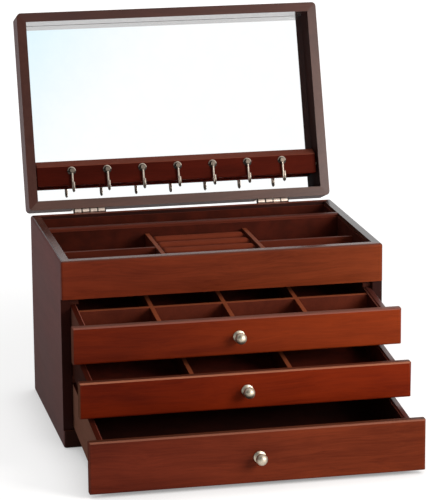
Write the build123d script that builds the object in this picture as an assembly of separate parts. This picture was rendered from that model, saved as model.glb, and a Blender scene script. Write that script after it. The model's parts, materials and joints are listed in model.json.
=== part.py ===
from build123d import *
import math
import os

# Jewellery box with three drawers and a hinged mirror lid.
#
# Millimetres. +X right, +Y back, +Z up. The pieces are laid out with y = 0 at the case's
# front face, and are moved at export so that the origin is the centre of the case's underside.
# As stored, the lid stands open on its hinge stop and the drawers are part way out.

# ---- case --------------------------------------------------------------------------------
width = 330.0               # outside, side to side
depth = 213.0               # outside, front to back
height = 193.0              # underside to rim
wall = 9.8                  # mitred boards of the case and of the lid frame
case_round = 3.0            # outer edges of the case
foot_round = 2.0            # lower edges of the case
band_height = 39.2          # apron across the front, over the drawers
rail_height = 18.0          # base rail under the drawers
edge_setback = 3.5          # front edges of the side boards, behind the band's face
bottom_panel = 4.0

# ---- drawers, from top to bottom ---------------------------------------------------------
front_shares = (0.2969, 0.2889, 0.4142)     # of the height that the three fronts share
front_top_gap = 3.8                 # reveal over the top front
front_gaps = (4.4, 1.5, 0.8)        # reveal below each front, down to the next front or the rail
drawer_travels = (65.1, 101.4, 154.4)   # how far each stands out as stored
drawer_reach = 165.0                # furthest that a drawer comes out
front_thickness = 8.3
front_round = 2.0
front_seat = 0.3                    # between a closed front and the side boards' edges
drawer_fall = 5.5                   # degrees by which the runners fall towards the front
box_length = 175.0
box_side = 5.0
box_back = 6.0
box_bottom = 3.0
box_bottom_lift = 3.0
side_play = 0.8                     # drawer side to case wall
side_above_front_foot = 2.0
side_below_front_top = 5.0
run_clearance = 0.3                 # drawer side over its runner
kick_clearance = 0.5                # drawer side under the runner or kicker above it
runner_width = 9.0
runner_setback = 1.0                # runner ends behind the side boards' front edges
low_runner = 5.0                    # thickness of the lowest runners and of the kickers
card = 1.4                          # covered lining boards
card_drop = 2.0                     # lining below the top of the wall that it covers
felt = 0.8
partition = 4.5
partition_drop = 3.0
drawer_rows = (62.0, 0.0, 0.0)      # lengthwise partition, behind the front; 0 is none
drawer_columns = (4, 3, 1)

# ---- knobs -------------------------------------------------------------------------------
knob_flange = 6.0
knob_flange_edge = 0.8
knob_flange_height = 2.6
knob_neck = 3.0
knob_ball = 5.7
knob_length = 14.6

# ---- tray under the lid ------------------------------------------------------------------
tray_floor = 3.0
trough_front = 143.0                # front face of the board that fences off the rear trough
trough_board = 8.0
trough_round = 1.5
tray_partition_at = 52.0            # either side of the centre line
tray_partition = 4.5
tray_divider_at = 80.0
tray_drop = 10.0                    # tops of partitions and dividers below the rim
tray_card_drop = 3.5
roll_count = 5
roll_gap = 2.5
roll_drop = 11.0
roll_end_gap = 0.3                  # roll to the partitions at its ends
roll_round = 0.42                   # of a roll's width

# ---- lid ---------------------------------------------------------------------------------
lid_depth = 36.0
lid_round = 4.5
lid_gap = 0.4                       # rim to rim when shut
lid_lean = 18.3                     # degrees back from upright, on the hinge stop
lid_panel = 4.0
panel_rebate = 3.0
mirror_thickness = 3.0
mirror_play = 0.2

# ---- necklace bar, with v measured from the hinge edge and w from the lid's rim -----------
bar_v = 26.3
bar_face = 20.5                     # height of its front face
bar_back = 27.6                     # height of its back face
bar_w = 7.0
bar_thickness = 11.0
bar_end_gap = 1.6
bar_pin = 1.5
hook_count = 7
hook_pitch = 38.6
hook_above_bar_foot = 15.0
hook_collar = 4.6
hook_collar_height = 1.6
hook_boss = 2.4
hook_boss_length = 4.6
hook_stand_off = 2.9                # shank's centre line in front of the bar
hook_wire = 1.15
hook_wire_sides = 10
hook_shank = 19.0
hook_bend = 3.5
hook_tip_rise = 6.0

# ---- hinges ------------------------------------------------------------------------------
hinge_at = 100.5                    # either side of the centre line
hinge_length = 34.0
hinge_knuckles = 4
hinge_barrel = 3.0
hinge_pin = 1.4
hinge_bore_play = 0.05
hinge_knuckle_gap = 0.6
hinge_back_gap = 0.3                # barrel to the boards' back faces
leaf_thickness = 1.2
leaf_height = 18.0
leaf_relief = 0.3
pin_head = 2.1
pin_head_height = 0.8

# ---- worked out --------------------------------------------------------------------------
half = width / 2
inner = half - wall
inner_back = depth - wall
band_bottom = height - band_height
fronts_height = band_bottom - rail_height - front_top_gap - sum(front_gaps)
front_heights = [share * fronts_height for share in front_shares]
fall = math.radians(drawer_fall)
slope = math.tan(fall)
hinge_y = depth + hinge_back_gap + hinge_barrel
hinge_z = height + lid_gap
lid_open = 90.0 + lid_lean
lid_top = hinge_z + lid_depth
mirror_w = lid_depth - lid_panel - mirror_thickness


def front_foot(number):
    """Height of the lower edge of a closed drawer front."""
    z = rail_height + front_gaps[2]
    for lower in (2, 1):
        if lower > number:
            z += front_heights[lower] + front_gaps[lower - 1]
    return z


def rise(y):
    """How much higher the runners are at y than behind a closed front."""
    return (y - edge_setback) * slope


def box_foot(number):
    """Lower edge of the drawer sides, behind the closed front."""
    return front_foot(number) + side_above_front_foot


def box_top(number):
    """Upper edge of the drawer sides, behind the closed front."""
    return front_foot(number) + front_heights[number] - side_below_front_top


box_front = edge_setback - front_seat
box_end = box_front + box_length
tray_under = box_top(0) + rise(box_end) + 2 * kick_clearance
tray_top = tray_under + tray_floor

# ---- shapes that several pieces share ------------------------------------------------------


def block(x0, x1, y0, y1, z0, z1):
    """A straight board between two corners."""
    return Pos((x0 + x1) / 2, (y0 + y1) / 2, (z0 + z1) / 2) * Box(x1 - x0, y1 - y0, z1 - z0)


def profile_x(points, x0, x1):
    """A (y, z) outline drawn out along x."""
    face = make_face(Polyline(*[(x0, y, z) for y, z in points], close=True))
    return extrude(face, amount=x1 - x0, dir=(1, 0, 0))


def falling(x0, x1, y0, y1, z0, z1):
    """A board between upright ends whose faces follow the runners; z0, z1 as behind a front."""
    lower = [(y0, z0 + rise(y0)), (y1, z0 + rise(y1))]
    upper = [(y1, z1 + rise(y1)), (y0, z1 + rise(y0))]
    return profile_x(lower + upper, x0, x1)


def both_sides(piece):
    """A piece and its mirror image in x."""
    return [piece, mirror(piece, about=Plane.YZ)]


def rim_box(z0, tall, edge_round, sharp_foot):
    """The outer form of the case or of the lid, with rounded corners and upper edges."""
    body = block(-half, half, 0, depth, z0, z0 + tall)
    upper = body.faces().sort_by(Axis.Z)[-1].edges()
    body = fillet(body.edges().filter_by(Axis.Z) + upper, edge_round)
    if not sharp_foot:
        body = fillet(body.faces().sort_by(Axis.Z)[0].edges(), foot_round)
    return body


def mitred(frame, z0, tall):
    """A frame cut at its corner mitres into front, back, left and right boards."""
    def cut(points):
        outline = Polyline(*[(x, y, z0) for x, y in points], close=True)
        return frame & extrude(make_face(outline), amount=tall, dir=(0, 0, 1))
    front = cut([(-half, 0), (half, 0), (inner, wall), (-inner, wall)])
    back = cut([(-half, depth), (half, depth), (inner, inner_back), (-inner, inner_back)])
    right = cut([(half, 0), (half, depth), (inner, inner_back), (inner, wall)])
    left = cut([(-half, 0), (-half, depth), (-inner, inner_back), (-inner, wall)])
    return front, back, left, right


# ---- case ----------------------------------------------------------------------------------


def make_case():
    """Mitred boards, with the side boards set back between the band and the base rail."""
    body = rim_box(0, height, case_round, False)
    frame = body - block(-inner, inner, wall, inner_back, 0, height)
    front, back, left, right = mitred(frame, 0, height)
    band = front & block(-half, half, 0, wall, band_bottom, height)
    rail = front & block(-half, half, 0, wall, 0, rail_height)
    sides = {}
    for name, x0, x1 in (("left", -half, -inner), ("right", inner, half)):
        board = frame & block(x0, x1, 0, depth, 0, height)
        board = board - block(x0, x1, 0, edge_setback, rail_height, band_bottom)
        sides[name] = board - band - rail - back
    pieces = {"front_band": band, "base_rail": rail, "case_back": back}
    pieces["case_side_left"] = sides["left"]
    pieces["case_side_right"] = sides["right"]
    pieces["case_bottom"] = block(-inner, inner, wall, inner_back, 0, bottom_panel)
    return pieces


def make_runners():
    """Strips on the case walls: under each drawer's sides, and kickers over the top drawer."""
    inside = inner - runner_width
    strips = []
    for number in (0, 1):
        top = box_foot(number) - run_clearance
        foot = box_top(number + 1) + kick_clearance
        strips += both_sides(falling(inside, inner, edge_setback + runner_setback,
                                      inner_back, foot, top))
    top = box_foot(2) - run_clearance
    strips += both_sides(falling(inside, inner, wall, inner_back, top - low_runner, top))
    foot = box_top(0) + kick_clearance
    kicker = falling(inside, inner, wall, box_end, foot, foot + low_runner)
    kicker = kicker & block(inside, inner, wall, box_end, rail_height, tray_under)
    return {"drawer_runners": strips, "drawer_kickers": both_sides(kicker)}


def make_tray():
    """The lidded tray: floor, rear trough, partitions, dividers, lining and ring rolls."""
    pieces = {"tray_floor": block(-inner, inner, wall, inner_back, tray_under, tray_top)}
    board = block(-inner, inner, trough_front, trough_front + trough_board, tray_top, height)
    edges = board.faces().sort_by(Axis.Z)[-1].edges().filter_by(Axis.X)
    pieces["trough_board"] = fillet(edges, trough_round)

    low_top = height - tray_drop
    near = tray_partition_at - tray_partition / 2
    far = tray_partition_at + tray_partition / 2
    front, back = wall + card, trough_front - card
    pieces["tray_partitions"] = both_sides(block(near, far, front, back, tray_top, low_top))
    d0, d1 = tray_divider_at - tray_partition / 2, tray_divider_at + tray_partition / 2
    pieces["tray_dividers"] = both_sides(block(far, inner - card, d0, d1, tray_top, low_top))

    cover_top = height - tray_card_drop
    lining = [block(-inner, inner, wall, wall + card, tray_top, cover_top)]
    lining += [block(-inner, inner, back, trough_front, tray_top, cover_top)]
    lining += both_sides(block(inner - card, inner, front, back, tray_top, cover_top))
    trough_back = trough_front + trough_board
    lining += [block(-inner, inner, inner_back - card, inner_back, tray_top, cover_top)]
    lining += both_sides(block(inner - card, inner, trough_back, inner_back - card, tray_top, cover_top))
    pieces["tray_lining"] = lining

    roll_pitch = (back - front) / roll_count
    roll_width = roll_pitch - roll_gap
    roll_height = height - roll_drop - tray_top
    rolls = []
    for i in range(roll_count):
        y = front + roll_pitch * (i + 0.5)
        roll = block(roll_end_gap - near, near - roll_end_gap, y - roll_width / 2,
                     y + roll_width / 2, tray_top, tray_top + roll_height)
        edges = roll.faces().sort_by(Axis.Z)[-1].edges().filter_by(Axis.X)
        rolls.append(fillet(edges, roll_width * roll_round))
    pieces["ring_rolls"] = rolls
    return pieces


# ---- drawers -------------------------------------------------------------------------------


def turned(outline, radius, top):
    """A solid turned from a (radius, height) outline that ends in an arc on the axis, standing along -y."""
    start = outline[-1]
    centre = top - radius
    turn = 0.5 * math.acos((start[1] - centre) / radius)
    mid = (radius * math.sin(turn), centre + radius * math.cos(turn))
    edges = [Line(a, b) for a, b in zip(outline, outline[1:])]
    edges += [ThreePointArc(start, mid, (0, top)), Line((0, top), outline[0])]
    return revolve(make_face(edges), Axis.Y).rotate(Axis.X, 180)


def make_knob():
    """Turned knob, seated at the origin: flange with a sloped shoulder, neck and ball."""
    neck_y = knob_length - knob_ball - math.sqrt(knob_ball ** 2 - knob_neck ** 2)
    outline = [(0, 0), (knob_flange, 0), (knob_flange, knob_flange_edge)]
    outline += [(knob_neck, knob_flange_height), (knob_neck, neck_y)]
    return turned(outline, knob_ball, knob_length)


def make_drawer(number):
    """A drawer in its closed place: front, box, lining, partitions and knob."""
    name = f"drawer_{number + 1}"
    foot, tall = front_foot(number), front_heights[number]
    low, top = box_foot(number), box_top(number)
    out = inner - side_play
    inside = out - box_side
    face = box_front - front_thickness
    pieces = {}

    front = block(-half, half, face, box_front, foot, foot + tall)
    front = fillet(front.faces().sort_by(Axis.Y)[0].edges(), front_round)
    pieces["front"] = front
    pieces["side_left"] = falling(-out, -inside, box_front, box_end, low, top)
    pieces["side_right"] = falling(inside, out, box_front, box_end, low, top)
    back_y = box_end - box_back
    pieces["back"] = falling(-inside, inside, back_y, box_end, low, top)
    floor = low + box_bottom_lift + box_bottom
    pieces["bottom"] = falling(-inside, inside, box_front, back_y, floor - box_bottom, floor)

    cover_top = top - card_drop
    clear = inside - card
    lining = [falling(-inside, inside, box_front, box_front + card, floor, cover_top)]
    lining += [falling(-inside, inside, back_y - card, back_y, floor, cover_top)]
    y0, y1 = box_front + card, back_y - card
    lining += both_sides(falling(clear, inside, y0, y1, floor, cover_top))
    lining += [falling(-clear, clear, y0, y1, floor, floor + felt)]
    pieces["lining"] = lining

    columns, row = drawer_columns[number], drawer_rows[number]
    low_top = top - partition_drop
    bays = [(y0, y1)]
    boards = []
    if row:
        middle = box_front + row
        boards += [falling(-clear, clear, middle - partition / 2, middle + partition / 2,
                           floor + felt, low_top)]
        bays = [(y0, middle - partition / 2), (middle + partition / 2, y1)]
    for i in range(1, columns):
        x = -clear + 2 * clear * i / columns
        for b0, b1 in bays:
            boards.append(falling(x - partition / 2, x + partition / 2, b0, b1, floor + felt, low_top))
    if boards:
        pieces["partitions"] = boards
    pieces["knob"] = Pos(0, face, foot + tall / 2) * make_knob()

    out_by = drawer_travels[number]
    place = Pos(0, -out_by, -out_by * slope)
    return {f"{name}_{key}": moved(piece, place) for key, piece in pieces.items()}


def moved(piece, place):
    """A solid, or each solid of a group, moved to its place."""
    return [place * one for one in piece] if isinstance(piece, list) else place * piece


# ---- lid, made shut and then swung open ------------------------------------------------------


def make_lid_frame():
    """Mitred frame with the panel let into a rebate and the mirror behind its rim."""
    body = rim_box(hinge_z, lid_depth, lid_round, True)
    frame = body - block(-inner, inner, wall, inner_back, hinge_z, lid_top)
    out, edge = inner + panel_rebate, wall - panel_rebate
    panel = block(-out, out, edge, depth - edge, lid_top - lid_panel, lid_top)
    front, back, left, right = mitred(frame - panel, hinge_z, lid_depth)
    pieces = {"lid_front_rail": front, "lid_back_rail": back}
    pieces["lid_left_rail"] = left
    pieces["lid_right_rail"] = right
    pieces["lid_panel"] = panel
    x, y = inner - mirror_play, wall + mirror_play
    z = hinge_z + mirror_w
    pieces["mirror"] = block(-x, x, y, depth - y, z, z + mirror_thickness)
    return pieces


def make_hook():
    """A necklace hook at the bar's face: collar, boss, shank and bend. Seated at z = 0, out along -z."""
    dome_radius = (hook_collar ** 2 + hook_collar_height ** 2) / (2 * hook_collar_height)
    dome = turned([(0, 0), (hook_collar, 0)], dome_radius, hook_collar_height)
    collar = dome.rotate(Axis.X, 90)
    boss = Pos(0, 0, -hook_boss_length / 2) * Cylinder(hook_boss, hook_boss_length)

    near, low = -hook_stand_off, hook_shank
    far = near - 2 * hook_bend
    section = Plane.XZ * RegularPolygon(hook_wire, hook_wire_sides)
    shank = extrude(Pos(0, 0, near) * section, amount=low, dir=(0, 1, 0))
    bend_axis = Axis((0, low, near - hook_bend), (-1, 0, 0))
    bend = revolve(Pos(0, low, near) * section, bend_axis, 180)
    tip = extrude(Pos(0, low, far) * section, amount=hook_tip_rise, dir=(0, -1, 0))
    return collar + boss + shank + bend + tip


def make_necklace_bar():
    """The bar across the lid, its end pins and its row of hooks."""
    y = depth - bar_v
    z = hinge_z + bar_w
    end = inner - bar_end_gap
    outline = [(y, z), (y - bar_face, z), (y - bar_back, z + bar_thickness), (y, z + bar_thickness)]
    pieces = {"hook_bar": profile_x(outline, -end, end)}
    pin = Rot(0, 90, 0) * Cylinder(bar_pin, bar_end_gap)
    pin_place = Pos(end + bar_end_gap / 2, y - bar_face / 2, z + bar_thickness / 2)
    pieces["hook_bar_pins"] = both_sides(pin_place * pin)
    row = Pos(0, y - hook_above_bar_foot, z)
    first = -(hook_count - 1) / 2
    hook = make_hook()
    pieces["necklace_hooks"] = [row * Pos((first + i) * hook_pitch, 0, 0) * hook
                                for i in range(hook_count)]
    return pieces


def barrel(x0, x1, radius):
    """A cylinder along the hinge axis."""
    return Pos((x0 + x1) / 2, hinge_y, hinge_z) * Rot(0, 90, 0) * Cylinder(radius, x1 - x0)


def make_hinges():
    """Butt hinges on the back faces, with knuckles that belong to the case and the lid by turns."""
    pitch = hinge_length / hinge_knuckles
    near = leaf_relief + math.sqrt(hinge_barrel ** 2 - (hinge_y - depth - leaf_thickness) ** 2)
    case_leaves, lid_leaves, pins = [], [], []
    for x in (-hinge_at, hinge_at):
        left = x - hinge_length / 2
        right = left + hinge_length
        y0, y1 = depth, depth + leaf_thickness
        case_leaf = block(left, right, y0, y1, hinge_z - leaf_height, hinge_z - near)
        lid_leaf = block(left, right, y0, y1, hinge_z + near, hinge_z + leaf_height)
        for i in range(hinge_knuckles):
            k0 = left + i * pitch + hinge_knuckle_gap / 2
            k1 = k0 + pitch - hinge_knuckle_gap
            tube = barrel(k0, k1, hinge_barrel)
            if i % 2 == 0:
                case_leaf += block(k0, k1, y0 + hinge_back_gap, y1, hinge_z - near, hinge_z) + tube
            else:
                lid_leaf += block(k0, k1, y0 + hinge_back_gap, y1, hinge_z, hinge_z + near) + tube
        bore = barrel(left, right, hinge_pin + hinge_bore_play)
        case_leaves.append(case_leaf - bore)
        lid_leaves.append(lid_leaf - bore)
        ends = hinge_knuckle_gap / 2
        head = pin_head_height
        pin = barrel(left - ends, right + ends, hinge_pin)
        pin += barrel(left + ends - head, left + ends, pin_head)
        pin += barrel(right - ends, right - ends + head, pin_head)
        pins.append(pin)
    case_part = {"hinge_case_leaves": case_leaves, "hinge_pins": pins}
    return case_part, {"hinge_lid_leaves": lid_leaves}


def swung(piece):
    """A piece of the lid, turned about the hinge axis to the open stop."""
    axis = Axis((0, hinge_y, hinge_z), (1, 0, 0))
    if isinstance(piece, list):
        return [one.rotate(axis, -lid_open) for one in piece]
    return piece.rotate(axis, -lid_open)


# ---- assembly ------------------------------------------------------------------------------


def make_all():
    """Every node by name, as stored."""
    nodes = {}
    nodes.update(make_case())
    nodes.update(make_runners())
    nodes.update(make_tray())
    case_hinges, lid_hinges = make_hinges()
    nodes.update(case_hinges)
    lid = {**make_lid_frame(), **make_necklace_bar(), **lid_hinges}
    nodes.update({name: swung(piece) for name, piece in lid.items()})
    for number in range(len(front_heights)):
        nodes.update(make_drawer(number))
    return nodes


def solids_of(piece):
    """The separate solids of a piece or group."""
    group = piece if isinstance(piece, list) else [piece]
    return [solid for one in group for solid in one.solids()]


def export_all():
    """One STEP per node, with the origin at the centre of the case's underside."""
    os.makedirs("parts", exist_ok=True)
    to_origin = Pos(0, -depth / 2, 0)
    for name, piece in make_all().items():
        solids = [to_origin * solid for solid in solids_of(piece)]
        shape = solids[0] if len(solids) == 1 else Compound(children=solids)
        export_step(shape, f"parts/{name}.step")


export_all()
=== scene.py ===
import bmesh
import bpy
import json
import math
from mathutils import Matrix, Vector, noise


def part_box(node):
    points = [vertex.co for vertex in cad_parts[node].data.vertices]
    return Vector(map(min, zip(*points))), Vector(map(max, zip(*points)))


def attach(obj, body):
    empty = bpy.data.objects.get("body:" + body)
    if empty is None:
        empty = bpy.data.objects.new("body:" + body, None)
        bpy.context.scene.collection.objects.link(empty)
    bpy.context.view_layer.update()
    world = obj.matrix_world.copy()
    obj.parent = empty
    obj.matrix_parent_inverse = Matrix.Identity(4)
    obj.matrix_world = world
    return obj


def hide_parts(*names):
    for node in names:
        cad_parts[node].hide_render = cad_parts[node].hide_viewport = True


# The looks of a stained wooden jewellery box: three drawers, a divided tray and a mirror lid.
# Metres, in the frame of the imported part: +X right, +Y back, +Z up, origin under the case.

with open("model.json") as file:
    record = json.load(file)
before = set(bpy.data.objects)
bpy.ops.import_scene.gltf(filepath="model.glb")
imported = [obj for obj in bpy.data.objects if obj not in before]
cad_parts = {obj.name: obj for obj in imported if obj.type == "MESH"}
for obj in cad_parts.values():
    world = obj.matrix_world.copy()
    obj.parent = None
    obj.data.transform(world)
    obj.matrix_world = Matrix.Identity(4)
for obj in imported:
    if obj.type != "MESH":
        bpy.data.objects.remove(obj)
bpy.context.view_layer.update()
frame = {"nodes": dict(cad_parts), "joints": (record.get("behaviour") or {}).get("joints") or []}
nodes = frame["nodes"]
lid_hinge = next(joint for joint in frame["joints"] if joint["name"] == "lid_hinge")

MM = 0.001

# ---- places on the box -----------------------------------------------------------------------

LEFT = (-1.0, 0.0, 0.0)
LID_LEAN = math.radians(18.3)       # the open lid, back from upright
LID_UP = (0.0, math.sin(LID_LEAN), math.cos(LID_LEAN))           # up along the open lid
LID_FACE = (0.0, -math.cos(LID_LEAN), math.sin(LID_LEAN))        # the way that the open lid looks
UNDER_RAIL = tuple(-c for c in LID_UP)                           # the way out of the lid's hinge edge
RUNNER_SLOPE = math.tan(math.radians(5.5))

HINGE_LINE = Vector(lid_hinge["pos_m"])
LID_SWING = math.radians(lid_hinge["range_deg"][1])              # from open to shut
HINGE_AT = 100.5 * MM               # a hinge's middle, either side of the centre line
HINGE_LENGTH = 34.0 * MM
KNUCKLE = 8.5 * MM                  # length of one knuckle
BARREL_REACH = 3.1 * MM             # just past the barrel's radius
LEAF_FACE = 2.1 * MM                # the leaves' outer faces, in front of the hinge line

HOOK_PITCH = 38.6 * MM
HOOK_ROW = (0.0, 0.13045, 0.2335)   # the middle collar's centre


# ---- node graphs -----------------------------------------------------------------------------

class Graph:
    """A short way to write a shader: each call adds a node and returns it or its output."""

    def __init__(self, name, world=False):
        holder = bpy.data.worlds.new(name) if world else bpy.data.materials.new(name)
        holder.use_nodes = True
        self.holder = holder
        self.tree = holder.node_tree
        self.tree.nodes.clear()

    def add(self, kind, settings=None, **inputs):
        node = self.tree.nodes.new(kind)
        for key, value in (settings or {}).items():
            setattr(node, key, value)
        for key, value in inputs.items():
            self.put(node.inputs[key.replace("_", " ")], value)
        return node

    def put(self, socket, value):
        if isinstance(value, bpy.types.NodeSocket):
            self.tree.links.new(value, socket)
        else:
            socket.default_value = value

    def fill(self, node, *values):
        """Fills a node's inputs in their order and returns its first output."""
        for socket, value in zip(node.inputs, values):
            self.put(socket, value)
        return node.outputs[0]

    def math(self, operation, a, b=0.0):
        return self.fill(self.add("ShaderNodeMath", {"operation": operation}), a, b)

    def hypotenuse(self, a, b):
        squares = self.math("ADD", self.math("MULTIPLY", a, a), self.math("MULTIPLY", b, b))
        return self.math("SQRT", squares)

    def vector(self, operation, a, b):
        return self.fill(self.add("ShaderNodeVectorMath", {"operation": operation}), a, b)

    def dot(self, vector, way):
        node = self.add("ShaderNodeVectorMath", {"operation": "DOT_PRODUCT"})
        self.fill(node, vector, way)
        return node.outputs["Value"]

    def axes(self, vector):
        """A vector's outputs X, Y and Z."""
        return self.add("ShaderNodeSeparateXYZ", Vector=vector).outputs

    def mix(self, factor, a, b, blend="MIX"):
        node = self.add("ShaderNodeMix", {"data_type": "RGBA", "blend_type": blend})
        self.put(node.inputs[0], factor)
        self.put(node.inputs[6], a)
        self.put(node.inputs[7], b)
        return node.outputs[2]

    def span(self, value, low, high, to_low=0.0, to_high=1.0):
        """A smooth step from to_low to to_high, as the value goes from low to high."""
        node = self.add("ShaderNodeMapRange", {"interpolation_type": "SMOOTHSTEP"})
        return self.fill(node, value, low, high, to_low, to_high)

    def noise(self, vector, counts, detail, rough):
        """Noise with about so many waves to the metre along each axis."""
        return self.add("ShaderNodeTexNoise", Vector=self.mapped(vector, counts), Scale=1.0,
                        Detail=detail, Roughness=rough).outputs["Fac"]

    def mapped(self, vector, scale=(1, 1, 1), turn=(0, 0, 0), shift=(0, 0, 0)):
        return self.add("ShaderNodeMapping", Vector=vector, Scale=scale, Rotation=turn,
                        Location=shift).outputs[0]

    def place(self):
        """Where a point lies on its piece, which stays with a piece that moves."""
        return self.add("ShaderNodeTexCoord").outputs["Object"]

    def normal(self):
        """The surface's own direction, which stays with a piece that moves."""
        return self.add("ShaderNodeTexCoord").outputs["Normal"]

    def bump(self, height, strength, distance):
        return self.add("ShaderNodeBump", Height=height, Strength=strength, Distance=distance).outputs[0]

    def surface(self, **inputs):
        """Ends a material with one surface shader and returns the material."""
        return self.out(self.add("ShaderNodeBsdfPrincipled", **inputs).outputs[0])

    def out(self, shader, kind="Material"):
        self.add(f"ShaderNodeOutput{kind}", Surface=shader)
        return self.holder


def rgb(red, green, blue):
    """A colour given as it looks on screen, 0 to 255, turned into the linear values that Blender uses."""
    def linear(value):
        value /= 255.0
        return value / 12.92 if value <= 0.04045 else ((value + 0.055) / 1.055) ** 2.4
    return (linear(red), linear(green), linear(blue), 1.0)


def darker(colour, share):
    """A colour at a share of its strength."""
    return tuple(c * share for c in colour[:3]) + (1.0,)


# ---- wood ------------------------------------------------------------------------------------

TURNS = {"x": (0, 0, 0), "y": (0, 0, math.pi / 2), "z": (0, math.pi / 2, 0)}
CASE_SPAN = (-0.15, 0.165)          # from the left of the box to its right
SIDE_SPAN = (0.02, 0.2)             # from the foot of the case's side to its top


def duller_painted_side(way, colour, rougher, kept, head=None):
    """What wood() takes for a rougher face, painted in a colour of its own for the light and shade that fall
    on it.

    way is the way that the face looks, colour its painted colour, rougher how much rougher it is and kept the
    share of the gloss that it keeps. head is its colour at the top of the case, where it isn't the colour at
    the foot.
    """
    return way, colour, rougher, kept, head


def draw_grain(g, place, grain, lean, shift):
    """The fields of a board's grain: broad clouds, the tree's rings, fine streaks and pores."""
    upright = g.mapped(place, turn=(lean, 0, 0), shift=(shift, shift * 0.7, shift * 1.3))
    along = g.mapped(upright, turn=TURNS[grain])
    warp = g.add("ShaderNodeTexNoise", Vector=g.mapped(along, (5, 14, 14)), Scale=1.0, Detail=2.0)
    bend = g.add("ShaderNodeVectorMath", {"operation": "SCALE"}, Vector=warp.outputs["Color"], Scale=0.035)
    bent = g.vector("ADD", along, bend.outputs[0])
    clouds = g.noise(along, (7, 16, 16), 3.0, 0.55)
    rings = g.noise(bent, (7, 120, 120), 4.0, 0.6)
    streaks = g.noise(bent, (24, 620, 620), 3.0, 0.65)
    pores = g.noise(along, (110, 2100, 2100), 1.0, 0.4)
    return clouds, rings, streaks, g.span(pores, 0.66, 0.8)


def wood(name, light, dark, grain="x", lean=0.0, rough=0.36, gloss=0.3, figure=1.0, shift=0.0,
         top_light_and_shade=None, ends=None, edge_highlight=None, painted_light_across=None, top_gloss=None, painted_side=None, coat=None):
    """Stained close-grained wood under satin lacquer, with the grain along x, y or z.

    lean turns the grain with a board that leans, figure is the strength of the grain and shift the
    place in the log. top_light_and_shade is the colour of upper faces, painted lighter or darker for
    how the light falls on them, and ends the colour of end grain. edge_highlight is the colour of a
    painted highlight along the edge between the top and the front, and painted_light_across the tints
    at the left and at the right of the box, painted light that is brighter to the right. top_gloss is
    the gloss of level upper faces, painted_side a face that duller_painted_side() gives, and coat the
    way that a polished face looks.
    """
    g = Graph(name)
    place, normal = g.place(), g.normal()
    clouds, rings, streaks, pores = draw_grain(g, place, grain, lean, shift)
    tone = g.math("MULTIPLY", g.span(clouds, 0.3, 0.7), 0.5)
    tone = g.math("ADD", g.math("MULTIPLY", g.span(rings, 0.34, 0.66), 0.26 * figure), tone)
    tone = g.math("ADD", g.math("MULTIPLY", g.span(streaks, 0.3, 0.7), 0.26 * figure), tone)
    colour = g.mix(tone, dark, light)
    colour = g.mix(g.math("MULTIPLY", pores, 0.3 * figure), colour, darker(dark, 0.4))
    # Painted light: the colour is tinted darker at the left of the box and brighter at the right.
    if painted_light_across:
        left, right = painted_light_across
        tint = g.mix(g.span(g.axes(place)["X"], *CASE_SPAN), (*left, 1.0), (*right, 1.0))
        colour = g.mix(1.0, colour, tint, "MULTIPLY")
    if ends:
        end = g.span(g.math("ABSOLUTE", g.axes(normal)["X"]), 0.45, 0.9, 0.0, 0.85)
        colour = g.mix(end, colour, g.mix(tone, darker(ends, 0.75), ends))
    # Painted light and shade: upper faces take a colour of their own for how the light falls on them.
    if top_light_and_shade:
        top = g.span(g.axes(normal)["Z"], 0.35, 0.9, 0.0, 0.85)
        colour = g.mix(top, colour, g.mix(tone, darker(top_light_and_shade, 0.75), top_light_and_shade))
    # A painted highlight: a paler line along the edge between the top and the front.
    if edge_highlight:
        sin, cos = math.sin(-lean), math.cos(lean)
        front = g.math("MAXIMUM", g.dot(normal, (0.0, -cos, sin)), 0.0)
        edge = g.math("MULTIPLY", front, g.dot(normal, (0.0, sin, cos)))
        colour = g.mix(g.span(edge, 0.08, 0.3), colour, edge_highlight)

    shine = g.span(clouds, 0.2, 0.8, rough - 0.04, rough + 0.05)
    if top_gloss:
        level = g.span(g.axes(normal)["Z"], 0.8, 0.98)
        gloss = g.span(level, 0.0, 1.0, gloss, top_gloss)
        shine = g.math("SUBTRACT", shine, g.math("MULTIPLY", level, 0.1))
    # One face, rougher and with its own gloss, is painted in a colour of its own for the light and shade that
    # fall on it, and changes to the head colour towards the top of the case.
    if painted_side:
        way, dull, rougher, kept, head = painted_side
        plain = g.span(g.dot(normal, way), 0.3, 0.8)
        gloss = g.math("MULTIPLY", g.span(plain, 0.0, 1.0, 1.0, kept), gloss)
        shine = g.math("ADD", shine, g.math("MULTIPLY", plain, rougher))
        if head:
            dull = g.mix(g.span(g.axes(place)["Z"], *SIDE_SPAN), dull, head)
        dull = g.mix(g.math("MULTIPLY", g.math("SUBTRACT", 1.0, tone), 0.4), dull, rgb(20, 8, 6))
        colour = g.mix(g.math("MULTIPLY", plain, 0.9), colour, dull)
    polish = {}
    if coat:
        polish = dict(Coat_Weight=g.span(g.dot(normal, coat), 0.5, 0.9), Coat_Roughness=0.02, Coat_IOR=2.0)
    relief = g.bump(g.math("SUBTRACT", g.math("MULTIPLY", streaks, 0.5), pores), 0.10, 0.4 * MM)
    return g.surface(Base_Color=colour, Roughness=shine, Normal=relief, Specular_IOR_Level=gloss, **polish)


# ---- velvet, metal and glass -----------------------------------------------------------------

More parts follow.
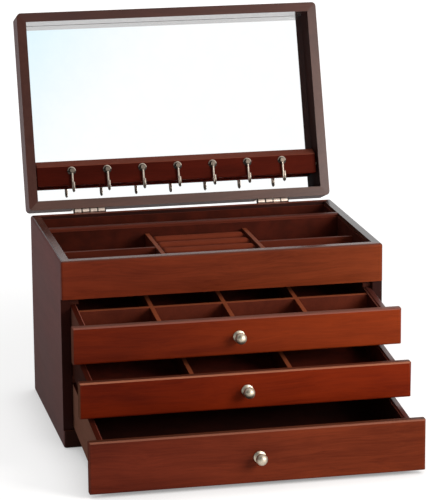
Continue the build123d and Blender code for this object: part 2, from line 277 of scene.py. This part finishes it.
def velvet(name, light, dark, edge=None, edge_level=None, crown_highlight=None):
    """Short pile: a mottled dark cloth with a soft sheen, and paler, as painted light, on its upward faces,
    such as where it folds over a board's edge.

    edge_level is the height over which an upper face counts as such an edge, on the runners' slope,
    and crown_highlight the colour of a painted highlight on the upper sides of rounded pieces, which are
    darker down their sides.
    """
    g = Graph(name)
    place = g.place()
    facing = g.axes(g.normal())
    brushed = g.noise(place, (60, 60, 60), 3.0, 0.6)
    pile = g.noise(place, (2600, 2600, 2600), 2.0, 0.7)
    tone = g.math("ADD", g.math("MULTIPLY", g.span(brushed, 0.3, 0.7), 0.6), g.math("MULTIPLY", pile, 0.4))
    colour = g.mix(tone, dark, light)
    # A painted highlight on the upper sides of rounded pieces.
    if crown_highlight:
        colour = g.mix(g.span(facing["Z"], 0.6, 1.0), colour, g.mix(tone, darker(crown_highlight, 0.8), crown_highlight))
    # Painted light: upward faces, such as the lining's edges, are paler.
    if edge:
        lit_upward = g.span(facing["Z"], 0.4, 0.8)
        if edge_level:
            at = g.axes(place)
            height = g.math("SUBTRACT", at["Z"], g.math("MULTIPLY", at["Y"], RUNNER_SLOPE))
            lit_upward = g.math("MULTIPLY", lit_upward, g.math("GREATER_THAN", height, edge_level))
        colour = g.mix(lit_upward, colour, edge)
    return g.surface(Base_Color=colour, Roughness=0.92, Normal=g.bump(pile, 0.25, 0.3 * MM),
                     Specular_IOR_Level=0.12, Sheen_Weight=0.12, Sheen_Roughness=0.45,
                     Sheen_Tint=rgb(150, 70, 50))


def knuckle_gap_shade(g, place, shade):
    """Paints shade into the gaps between a hinge's knuckles, on the knuckles' ends and the pin close to the
    hinge line.
    """
    at = g.axes(place)
    along = g.math("SUBTRACT", g.math("ABSOLUTE", at["X"]), HINGE_AT - HINGE_LENGTH / 2)
    gap = g.span(g.math("PINGPONG", along, KNUCKLE / 2), 0.33 * MM, 1.1 * MM, 1.0, 0.0)
    off = g.hypotenuse(g.math("SUBTRACT", at["Y"], HINGE_LINE.y), g.math("SUBTRACT", at["Z"], HINGE_LINE.z))
    return g.mix(g.math("MULTIPLY", gap, g.math("LESS_THAN", off, BARREL_REACH)), shade, rgb(20, 13, 11))


def hook_painted_shade(g, place, shade):
    """Paints shade on the hooks: under the collars and round the boss, on the bosses and at the ends of the
    bends.
    """
    off = g.vector("SUBTRACT", place, HOOK_ROW)
    lift, depth = g.dot(off, LID_UP), g.dot(off, LID_FACE)
    across = g.math("PINGPONG", g.axes(place)["X"], HOOK_PITCH / 2)
    radius = g.hypotenuse(across, lift)
    collar = g.span(depth, 1.5 * MM, 1.8 * MM, 1.0, 0.0)
    under = g.math("MAXIMUM", g.span(radius, 3.3 * MM, 3.8 * MM, 1.0, 0.0),
                   g.span(lift, -0.4 * MM, 1.2 * MM, 1.0, 0.0))
    boss = g.math("MULTIPLY", g.math("SUBTRACT", 1.0, collar), g.span(radius, 2.5 * MM, 2.8 * MM, 1.0, 0.0))
    bend = g.math("MULTIPLY", g.span(lift, -19.5 * MM, -17 * MM, 1.0, 0.0), g.span(depth, 3.5 * MM, 5 * MM))
    # Painted shade: dark colours under the collars, on the bosses and low on the bends.
    for where, share, dark in ((g.math("MULTIPLY", collar, under), 0.95, rgb(32, 21, 16)),
                               (boss, 0.85, rgb(76, 64, 52)), (bend, 0.7, rgb(60, 46, 38))):
        shade = g.mix(g.math("MULTIPLY", where, share), shade, dark)
    return shade


def metal(name, colour, rough, dull, metallic=1.0, painted_shade=None):
    """Satin nickel: plated, faintly brushed and dulled in patches. painted_shade, where given, paints shade
    into its hollows and gaps.
    """
    g = Graph(name)
    place = g.place()
    patches = g.noise(place, (260, 260, 260), 3.0, 0.6)
    lines = g.noise(place, (900, 7000, 7000), 2.0, 0.6)
    shade = g.mix(g.span(patches, 0.3, 0.75), darker(colour, 1 - dull), colour)
    if painted_shade:
        shade = painted_shade(g, place, shade)
    return g.surface(Base_Color=shade, Roughness=g.span(patches, 0.25, 0.75, rough - 0.05, rough + 0.07),
                     Normal=g.bump(lines, 0.04, 0.1 * MM), Metallic=metallic)


def looking_glass(name):
    """Silvered glass, with the faint cool cast of the glass and a breath of dust."""
    g = Graph(name)
    dust = g.noise(g.place(), (45, 45, 45), 4.0, 0.6)
    colour = g.mix(g.span(dust, 0.35, 0.7), (0.955, 0.968, 0.97, 1.0), (0.975, 0.983, 0.985, 1.0))
    return g.surface(Base_Color=colour, Roughness=g.span(dust, 0.4, 0.8, 0.012, 0.03), Metallic=1.0)


# ---- what each piece is made of --------------------------------------------------------------

OUTER_LIGHT, OUTER_DARK = rgb(136, 58, 30), rgb(94, 36, 18)
DRAWER_LIGHT, DRAWER_DARK = rgb(138, 50, 17), rgb(94, 27, 8)
LOW_LIGHT, LOW_DARK = rgb(126, 54, 31), rgb(86, 32, 18)
# The case's boards: dark, partly their own colour and partly painted shade for the front edges of the sides,
# which the drawers shade.
SIDE_LIGHT, SIDE_DARK = rgb(54, 20, 14), rgb(36, 12, 8)
INNER_LIGHT, INNER_DARK = rgb(104, 42, 24), rgb(72, 26, 15)
DEEP_LIGHT, DEEP_DARK = rgb(84, 38, 24), rgb(52, 20, 13)
LID_LIGHT, LID_DARK = rgb(78, 40, 30), rgb(56, 26, 19)
STILE_LIGHT, STILE_DARK = rgb(88, 54, 46), rgb(64, 36, 31)

# Many looks paint light and shade into their colours: upper faces, the edge between the top and the front,
# the change from left to right and single faces of some boards take colours for how the light falls on them,
# and velvet is paler where it faces up.
MATERIALS = {
    "band": wood("wood_front_band", OUTER_LIGHT, OUTER_DARK, gloss=0.05, top_light_and_shade=rgb(106, 62, 50),
                 top_gloss=0.38, painted_light_across=((0.82, 0.72, 0.78), (1.02, 1.08, 0.95))),
    "side_left": wood("wood_case_left", SIDE_LIGHT, SIDE_DARK, grain="y", figure=0.6, gloss=0.08,
                      rough=0.34, top_light_and_shade=rgb(104, 58, 46), top_gloss=0.4,
                      painted_side=duller_painted_side(LEFT, rgb(122, 80, 76), 0.5, 3.0, head=rgb(150, 98, 95))),
    "side_right": wood("wood_case_right", SIDE_LIGHT, SIDE_DARK, grain="y", figure=0.6, gloss=0.08,
                       rough=0.34, top_gloss=0.5, ends=rgb(96, 60, 50)),
    "case_back": wood("wood_case_back", SIDE_LIGHT, SIDE_DARK, gloss=0.15, rough=0.4, shift=0.83,
                      top_light_and_shade=rgb(150, 76, 54)),
    "rail": wood("wood_base_rail", rgb(56, 25, 16), rgb(38, 15, 9), gloss=0.06, shift=0.57,
                 top_light_and_shade=rgb(100, 60, 46)),
    "inner": wood("wood_inner_boards", INNER_LIGHT, INNER_DARK, figure=0.7, gloss=0.1, rough=0.5,
                  shift=0.17, top_light_and_shade=rgb(106, 50, 34)),
    "trough": wood("wood_trough_board", INNER_LIGHT, INNER_DARK, figure=0.7, gloss=0.12, rough=0.4,
                   shift=0.47, top_light_and_shade=rgb(88, 38, 25)),
    "partition": wood("wood_inner_deep", INNER_LIGHT, INNER_DARK, grain="y", figure=0.7, gloss=0.1,
                      rough=0.5, top_light_and_shade=rgb(158, 82, 52)),
    "runner": wood("wood_runners", DEEP_LIGHT, DEEP_DARK, grain="y", figure=0.7, gloss=0.1, rough=0.5),
    "drawer_right": wood("wood_drawer_right_sides", INNER_LIGHT, INNER_DARK, grain="y", figure=0.7,
                         gloss=0.5, rough=0.3, top_light_and_shade=rgb(88, 46, 40)),
    "lid_top": wood("wood_lid_rail_top", LID_LIGHT, LID_DARK, lean=-LID_LEAN, gloss=0.3, rough=0.35,
                    shift=0.41, painted_light_across=((0.98, 0.96, 0.95), (1.3, 1.3, 1.25)), coat=UNDER_RAIL),
    "lid_low": wood("wood_lid_rail_low", rgb(94, 60, 48), rgb(68, 40, 31), lean=-LID_LEAN, gloss=0.34,
                    rough=0.4, shift=0.71, painted_side=duller_painted_side(UNDER_RAIL, rgb(70, 32, 25), 0.2, 0.4)),
    "lid_left": wood("wood_lid_stile_left", STILE_LIGHT, STILE_DARK, grain="z", lean=-LID_LEAN, gloss=0.1,
                     rough=0.5, shift=0.23, painted_side=duller_painted_side(LEFT, rgb(112, 68, 66), 0.05, 1.2)),
    "lid_right": wood("wood_lid_stile_right", rgb(94, 62, 53), rgb(70, 42, 35), grain="z", lean=-LID_LEAN,
                      gloss=0.4, rough=0.4, shift=0.37, painted_side=duller_painted_side(LEFT, rgb(58, 26, 21), 0.3, 0.15)),
    "lid_panel": wood("wood_lid_panel", LID_LIGHT, LID_DARK, lean=-LID_LEAN, gloss=0.2, rough=0.42,
                      shift=0.51),
    "bar": wood("wood_hook_bar", rgb(86, 24, 13), rgb(56, 13, 6), lean=-LID_LEAN, gloss=0.02, rough=0.5,
                shift=0.67, top_light_and_shade=rgb(96, 42, 32), edge_highlight=rgb(122, 64, 50),
                painted_light_across=((0.88, 0.85, 0.85), (1.12, 1.2, 1.1)),
                painted_side=duller_painted_side(UNDER_RAIL, rgb(124, 38, 22), 0.2, 0.3)),
    "velvet": velvet("lining_velvet", rgb(80, 27, 14), rgb(52, 17, 8), edge=rgb(112, 50, 36)),
    "roll_velvet": velvet("roll_velvet", rgb(88, 30, 17), rgb(56, 18, 10), crown_highlight=rgb(130, 56, 32)),
    "nickel": metal("nickel_satin", rgb(204, 192, 172), 0.48, 0.18),
    "hook": metal("nickel_hooks", rgb(206, 190, 174), 0.3, 0.2, metallic=0.65, painted_shade=hook_painted_shade),
    "hinge": metal("nickel_hinges", rgb(216, 198, 184), 0.34, 0.25, painted_shade=knuckle_gap_shade),
    "mirror": looking_glass("mirror_silver"),
}

NODE_MATERIALS = {
    "front_band": "band", "base_rail": "rail", "case_back": "case_back", "case_bottom": "case_back",
    "case_side_left": "side_left", "case_side_right": "side_right",
    "drawer_runners": "runner", "drawer_kickers": "runner",
    "tray_floor": "velvet", "tray_lining": "velvet", "ring_rolls": "velvet",
    "trough_board": "trough", "tray_partitions": "partition", "tray_dividers": "inner",
    "lid_front_rail": "lid_top", "lid_back_rail": "lid_low", "lid_left_rail": "lid_left",
    "lid_right_rail": "lid_right", "lid_panel": "lid_panel", "mirror": "mirror",
    "hook_bar": "bar", "hook_bar_pins": "nickel", "necklace_hooks": "hook",
    "hinge_case_leaves": "hinge", "hinge_lid_leaves": "hinge", "hinge_pins": "hinge",
}

# The drawers from top to bottom, with the colour of each left side's outer face, painted lighter or darker
# for the light and shade on that drawer, and each lining at its own brightness, painted light and shade,
# paler where its edges face up.
DRAWERS = (
    {"front": dict(name="wood_top_front", light=DRAWER_LIGHT, dark=DRAWER_DARK, gloss=0.05, shift=0.31,
                   top_light_and_shade=rgb(130, 88, 76), edge_highlight=rgb(132, 80, 68), painted_light_across=((0.62, 0.52, 0.6), (1.05, 1.15, 1.2)),
                   painted_side=duller_painted_side(LEFT, rgb(130, 84, 70), 0.5, 0.0)),
     "outside": rgb(122, 80, 68),
     "lining": dict(light=rgb(78, 24, 12), dark=rgb(50, 16, 8), edge=rgb(176, 108, 92))},
    {"front": dict(name="wood_middle_front", light=DRAWER_LIGHT, dark=DRAWER_DARK, gloss=0.04, shift=0.93,
                   top_light_and_shade=rgb(96, 52, 38), edge_highlight=rgb(158, 98, 74), painted_light_across=((0.66, 0.47, 0.45), (0.88, 0.68, 0.6)),
                   painted_side=duller_painted_side(LEFT, rgb(130, 88, 70), 0.5, 0.0)),
     "outside": rgb(62, 32, 24),
     "lining": dict(light=rgb(98, 32, 17), dark=rgb(64, 21, 11), edge=rgb(138, 72, 58))},
    {"front": dict(name="wood_low_front", light=LOW_LIGHT, dark=LOW_DARK, gloss=0.05, shift=0.57,
                   top_light_and_shade=rgb(86, 48, 33), edge_highlight=rgb(134, 82, 64), painted_light_across=((0.76, 0.66, 0.75), (1.02, 1.0, 0.82)),
                   painted_side=duller_painted_side(LEFT, rgb(134, 74, 62), 0.5, 0.0)),
     "outside": rgb(158, 110, 92),
     "lining": dict(light=rgb(54, 18, 10), dark=rgb(34, 11, 6), edge=rgb(130, 68, 56))},
)
LINING_DEPTH = 8 * MM               # how far below the lining's highest corner its edges reach
FRONTS, LEFT_SIDES = [], []
for number, drawer in enumerate(DRAWERS, 1):
    looks = {"front": f"front_{number}", "side_left": f"left_side_{number}", "lining": f"velvet_{number}",
             "side_right": "drawer_right", "back": "inner", "bottom": "velvet",
             "partitions": "partition", "knob": "nickel"}
    for piece, look in looks.items():
        if f"drawer_{number}_{piece}" in nodes:
            NODE_MATERIALS[f"drawer_{number}_{piece}"] = look
    FRONTS.append(looks["front"])
    LEFT_SIDES.append(looks["side_left"])
    MATERIALS[looks["front"]] = wood(**drawer["front"])
    MATERIALS[looks["side_left"]] = wood(
        f"wood_drawer_left_side_{number}", INNER_LIGHT, INNER_DARK, grain="y", figure=0.7, gloss=0.03,
        rough=0.5, top_light_and_shade=rgb(70, 24, 15), painted_side=duller_painted_side(LEFT, drawer["outside"], 0.45, 1.0))
    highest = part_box(f"drawer_{number}_lining")[1]
    edge_level = highest[2] - RUNNER_SLOPE * highest[1] - LINING_DEPTH
    MATERIALS[looks["lining"]] = velvet(f"lining_velvet_{number}", edge_level=edge_level, **drawer["lining"])

EDGES = {                           # width of the rounded edge, in mm, and the looks that have it
    0.15: ["hinge"],
    0.3: ["velvet", "case_back", "rail", "side_left", "side_right"],
    0.4: ["runner"],
    0.5: ["inner", "partition", "trough", "band", "drawer_right", *LEFT_SIDES,
          "lid_top", "lid_low", "lid_left", "lid_right", "lid_panel"],
    0.8: ["bar"],
    0.9: FRONTS,
}
EDGE_WIDTHS = {look: width * MM for width, group in EDGES.items() for look in group}


def dress(node, look):
    """Gives a CAD node its material and, where it is a board or a leaf, a soft rounded edge, as wear leaves
    it.
    """
    node.data.materials.clear()
    node.data.materials.append(MATERIALS[look])
    for polygon in node.data.polygons:
        polygon.use_smooth = True
        polygon.material_index = 0
    if look in EDGE_WIDTHS:
        weld = node.modifiers.new("weld", "WELD")
        weld.merge_threshold = 1e-6
        bevel = node.modifiers.new("soft_edge", "BEVEL")
        bevel.width = EDGE_WIDTHS[look]
        bevel.segments = 2
        bevel.limit_method = "ANGLE"
        bevel.angle_limit = math.radians(35)
        flat = node.modifiers.new("flat_faces", "WEIGHTED_NORMAL")
        flat.weight = 100


for name, look in NODE_MATERIALS.items():
    dress(nodes[name], look)


# ---- new pieces ------------------------------------------------------------------------------

def add_object(name, data):
    """A new object in the scene that holds a mesh, a lamp or a camera."""
    made = bpy.data.objects.new(name, data)
    bpy.context.scene.collection.objects.link(made)
    return made


def finish_mesh(name, form, material):
    """A mesh made from a form, with its faces turned outwards."""
    bmesh.ops.recalc_face_normals(form, faces=form.faces)
    mesh = bpy.data.meshes.new(name)
    form.to_mesh(mesh)
    form.free()
    mesh.materials.append(MATERIALS[material])
    return mesh


def skin(form, near, far):
    """Joins two rings of as many vertices with a band of faces."""
    for i in range(len(near)):
        j = (i + 1) % len(near)
        form.faces.new((near[i], near[j], far[j], far[i]))


# ---- ring rolls: foam in velvet sleeves ------------------------------------------------------

ROLL_COUNT = 5
ROLL_GAP = 2.5 * MM                 # between two neighbours
ROLL_END_GAP = 0.3 * MM             # from a roll's end to the end of its CAD solid
ROLL_TUCK = 3.0 * MM                # length over which an end draws in
ROLL_FOLD = 0.22 * MM               # height of the cloth's small folds
ROLL_SLACK = 0.35 * MM              # height of its long waves
ROLL_STATIONS = 40
ROLL_SIDES = 28


def roll_outline(wide, tall):
    """A roll's cross-section, as (y, z) points round it: flat underneath and domed on top."""
    half = wide / 2
    points = []
    for i in range(ROLL_SIDES):
        angle = 2 * math.pi * (i + 0.5) / ROLL_SIDES - math.pi / 2
        y, z = math.cos(angle), math.sin(angle)
        bulge = 2.1 if z > 0 else 4.0
        reach = (abs(y) ** bulge + abs(z) ** bulge) ** (-1 / bulge)
        points.append((y * reach * half, tall / 2 + z * reach * tall / 2))
    return points


def close_end(form, ring, sign):
    """Closes a sleeve's end, gathered a little outwards to a tip; sign is the way that it looks."""
    centre = sum((v.co for v in ring), Vector()) / ROLL_SIDES
    inner = [form.verts.new(centre.lerp(v.co, 0.55) + Vector((sign * 0.25 * MM, 0, 0))) for v in ring]
    tip = form.verts.new(centre + Vector((sign * 0.3 * MM, 0, 0)))
    skin(form, ring, inner)
    for i in range(ROLL_SIDES):
        form.faces.new((inner[i], inner[(i + 1) % ROLL_SIDES], tip))


def roll_mesh(name, low, high, seed):
    """A closed sleeve between two corners, drawn in at its ends, with the folds of a tucked cloth."""
    length, tall = high.x - low.x, high.z - low.z
    outline = roll_outline(high.y - low.y, tall)
    middle = Vector(((low.x + high.x) / 2, (low.y + high.y) / 2, low.z))
    form = bmesh.new()
    rings = []
    for i in range(ROLL_STATIONS + 1):
        t = 0.5 - 0.5 * math.cos(math.pi * i / ROLL_STATIONS)
        x = (t - 0.5) * length
        from_end = length / 2 - abs(x)
        draw = 1.0 - 0.22 * math.exp(-((from_end / ROLL_TUCK) ** 2) * 2.2)
        ring = []
        for y, z in outline:
            fold = noise.noise(Vector((x * 55, y * 240, z * 240 + seed * 9.7))) * ROLL_FOLD
            slack = noise.noise(Vector((x * 16, seed * 5.3, 0))) * ROLL_SLACK
            lift = (fold + slack) * min(z / tall * 2, 1.0)
            point = Vector((x, y * draw + fold, z * (0.35 + 0.65 * draw) + lift))
            ring.append(form.verts.new(middle + point))
        rings.append(ring)
    for near, far in zip(rings, rings[1:]):
        skin(form, near, far)
    close_end(form, rings[0], -1)
    close_end(form, rings[-1], 1)
    return finish_mesh(name, form, "roll_velvet")


def make_rolls():
    """Padded rolls side by side in the middle bay of the tray."""
    low, high = (Vector(corner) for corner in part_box("ring_rolls"))
    pitch = (high.y - low.y + ROLL_GAP) / ROLL_COUNT
    rolls = []
    for i in range(ROLL_COUNT):
        name = f"ring_roll_{i + 1}"
        start = Vector((low.x + ROLL_END_GAP, low.y + i * pitch, low.z))
        end = Vector((high.x - ROLL_END_GAP, start.y + pitch - ROLL_GAP, high.z))
        roll = add_object(name, roll_mesh(name, start, end, i + 1))
        for polygon in roll.data.polygons:
            polygon.use_smooth = True
        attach(roll, "case")
        rolls.append(roll)
    for roll in rolls:
        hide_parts("ring_rolls")


make_rolls()


# ---- hinge screws ----------------------------------------------------------------------------

HEAD_RADIUS = 2.6 * MM
HEAD_FOOT = -0.2 * MM               # the head's foot, sunk in the leaf
HEAD_RIM = 0.12 * MM                # its rim, where the slot's floor lies
HEAD_DOME = ((1.0, HEAD_RIM), (0.86, 0.38 * MM), (0.6, 0.55 * MM))     # shares of the radius, and heights
SLOT_WIDTH = 0.7 * MM
SCREW_SPREAD = 10.0 * MM            # either side of a hinge's middle
SCREW_LIFT = 11.5 * MM              # from the hinge line
SCREW_ACROSS = [side * HINGE_AT + end * SCREW_SPREAD for side in (-1, 1) for end in (-1, 1)]


def screw_head(form, centre, turn):
    """A low domed screw head with a slot, which looks backwards."""
    def ring(points, rise):
        return [form.verts.new(centre + Vector((x, rise, -y))) for x, y in points]

    def arc(radius, start, sweep, steps):
        angles = [start + sweep * k / steps for k in range(steps + 1)]
        return [(radius * math.cos(a), radius * math.sin(a)) for a in angles]

    circle = arc(HEAD_RADIUS, 0.0, 2 * math.pi, 24)[:-1]
    foot, rim = ring(circle, HEAD_FOOT), ring(circle, HEAD_RIM)
    skin(form, foot, rim)
    form.faces.new(rim)
    for half_turn in (math.pi, 0.0):
        levels = []
        for share, rise in HEAD_DOME:
            radius = HEAD_RADIUS * share
            slot = math.asin(SLOT_WIDTH / 2 / radius)
            levels.append(ring(arc(radius, turn + half_turn + slot, math.pi - 2 * slot, 12), rise))
        skin(form, levels[0], levels[1])
        skin(form, levels[1], levels[2])
        form.faces.new(levels[2])


def make_screws(name, body, lift):
    """The slotted screws of one body's hinge leaves, so far over the hinge line with the lid shut."""
    form = bmesh.new()
    for i, x in enumerate(SCREW_ACROSS):
        centre = Vector((x, HINGE_LINE.y - LEAF_FACE, HINGE_LINE.z + lift))
        screw_head(form, centre, 0.4 + 1.1 * i)
    if body == "lid":
        swing = Matrix.Translation(HINGE_LINE) @ Matrix.Rotation(-LID_SWING, 4, "X")
        bmesh.ops.transform(form, matrix=swing @ Matrix.Translation(-HINGE_LINE), verts=form.verts)
    screws = add_object(name, finish_mesh(name, form, "nickel"))
    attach(screws, body)


make_screws("hinge_screws_case", "case", -SCREW_LIFT)
make_screws("hinge_screws_lid", "lid", SCREW_LIFT)


# ---- floor, lamps and world ------------------------------------------------------------------

FLOOR_REACH = 30.0


def camera_sees(g, camera_shader, other_shader):
    """One shader for the camera, mirrors and metal, and another for the light that falls on things."""
    rays = g.add("ShaderNodeLightPath").outputs
    seen = g.math("MAXIMUM", rays["Is Camera Ray"], rays["Is Glossy Ray"])
    seen = g.math("MAXIMUM", seen, rays["Is Transmission Ray"])
    return g.fill(g.add("ShaderNodeMixShader"), seen, other_shader, camera_shader)


def make_floor():
    """A white floor that grows brighter, as a sweep does, away from the box, with a painted shadow close to
    it, where its glow is dimmer and ambient occlusion dims it further.
    """
    mesh = bpy.data.meshes.new("studio_floor")
    corners = [(x * FLOOR_REACH, y * FLOOR_REACH, 0) for x, y in ((-1, -1), (1, -1), (1, 1), (-1, 1))]
    mesh.from_pydata(corners, [], [(0, 1, 2, 3)])
    g = Graph("studio_floor_white")
    away = g.add("ShaderNodeVectorMath", {"operation": "LENGTH"}, Vector=g.place()).outputs["Value"]
    # Painted shadow: ambient occlusion dims the floor's glow where the box is close by.
    near = g.add("ShaderNodeAmbientOcclusion", {"samples": 8}, Distance=0.06).outputs["AO"]
    level = g.math("MULTIPLY", g.span(away, 0.25, 1.1, 0.78, 1.0), g.span(near, 0.0, 1.0, 0.35, 1.0))
    glow = g.add("ShaderNodeEmission", Color=(1, 1, 1, 1), Strength=level).outputs[0]
    pale = g.add("ShaderNodeBsdfDiffuse", Color=(0.5, 0.5, 0.5, 1.0)).outputs[0]
    matt = g.add("ShaderNodeBsdfDiffuse", Color=(0.8, 0.8, 0.8, 1.0)).outputs[0]
    bright = g.fill(g.add("ShaderNodeAddShader"), pale, glow)
    mesh.materials.append(g.out(camera_sees(g, bright, matt)))
    add_object("studio_floor", mesh)


def make_world():
    """A studio: white behind, to the right and low in front, and dark high at the front left.

    Low on the left it is faintly blue, which the mirror shows.
    """
    g = Graph("studio_world", world=True)
    parts = g.axes(g.add("ShaderNodeTexCoord").outputs["Generated"])
    across, back, height = parts["X"], parts["Y"], parts["Z"]
    behind = g.span(back, -0.1, 0.35)
    panel = g.span(across, -0.08, 0.1)
    near = g.math("MULTIPLY", g.span(height, 0.28, 0.4, 1.0, 0.0), g.span(across, -0.5, -0.3))
    level = g.span(g.math("MAXIMUM", g.math("MAXIMUM", behind, panel), near), 0.0, 1.0, 0.1, 1.04)
    cool = g.math("MULTIPLY", g.span(g.math("SUBTRACT", height, across), 0.262, 0.345),
                  g.span(height, 0.5, 0.6, 1.0, 0.0))
    tint = g.mix(cool, (1, 1, 1, 1), (0.76, 0.93, 1.0, 1))
    seen = g.add("ShaderNodeBackground", Color=tint, Strength=level).outputs[0]
    soft = g.add("ShaderNodeBackground", Color=(1.0, 0.985, 0.97, 1), Strength=0.3).outputs[0]
    bpy.context.scene.world = g.out(camera_sees(g, seen, soft), "World")


def lamp(name, place, target, size, power, colour=(1, 1, 1), glossy=True):
    """A square soft lamp that faces a target; one that isn't glossy doesn't show in mirrors or metal."""
    data = bpy.data.lights.new(name, "AREA")
    data.size = size
    data.energy = power
    data.color = colour
    lit = add_object(name, data)
    lit.location = place
    lit.rotation_euler = (Vector(target) - Vector(place)).to_track_quat("-Z", "Y").to_euler()
    lit.visible_glossy = glossy


make_floor()
make_world()
lamp("key_right", (0.72, -0.9, 0.55), (0.02, -0.1, 0.1), 0.5, 11, (1.0, 0.97, 0.93))
lamp("fill_front", (-0.4, -3.2, 0.9), (0.0, 0.0, 0.15), 1.6, 8, glossy=False)


# ---- camera ----------------------------------------------------------------------------------

PICTURE_WIDTH = 427
FOCAL_PIXELS = 2610.544
CAMERA_PLACE = Vector((-0.52571, -2.58505, 0.81417))
CAMERA_YAW, CAMERA_PITCH, CAMERA_ROLL = -0.205, -0.2394, -0.0083


def make_camera():
    """The camera, from its place, its angles and its focal length in pixels of the picture."""
    forward = Vector((math.sin(-CAMERA_YAW) * math.cos(CAMERA_PITCH),
                      math.cos(-CAMERA_YAW) * math.cos(CAMERA_PITCH), math.sin(CAMERA_PITCH)))
    right = forward.cross(Vector((0, 0, 1))).normalized()
    up = right.cross(forward)
    cos, sin = math.cos(CAMERA_ROLL), math.sin(CAMERA_ROLL)
    right, up = cos * right + sin * up, cos * up - sin * right
    data = bpy.data.cameras.new("camera")
    data.sensor_fit = "HORIZONTAL"
    data.sensor_width = 36.0
    data.lens = FOCAL_PIXELS / PICTURE_WIDTH * data.sensor_width
    data.clip_start = 0.1
    data.clip_end = 100.0
    camera = add_object("camera", data)
    turn = Matrix((right, up, -forward)).transposed().to_4x4()
    camera.matrix_world = Matrix.Translation(CAMERA_PLACE) @ turn
    bpy.context.scene.camera = camera


make_camera()
bpy.context.scene.view_settings.view_transform = "Standard"
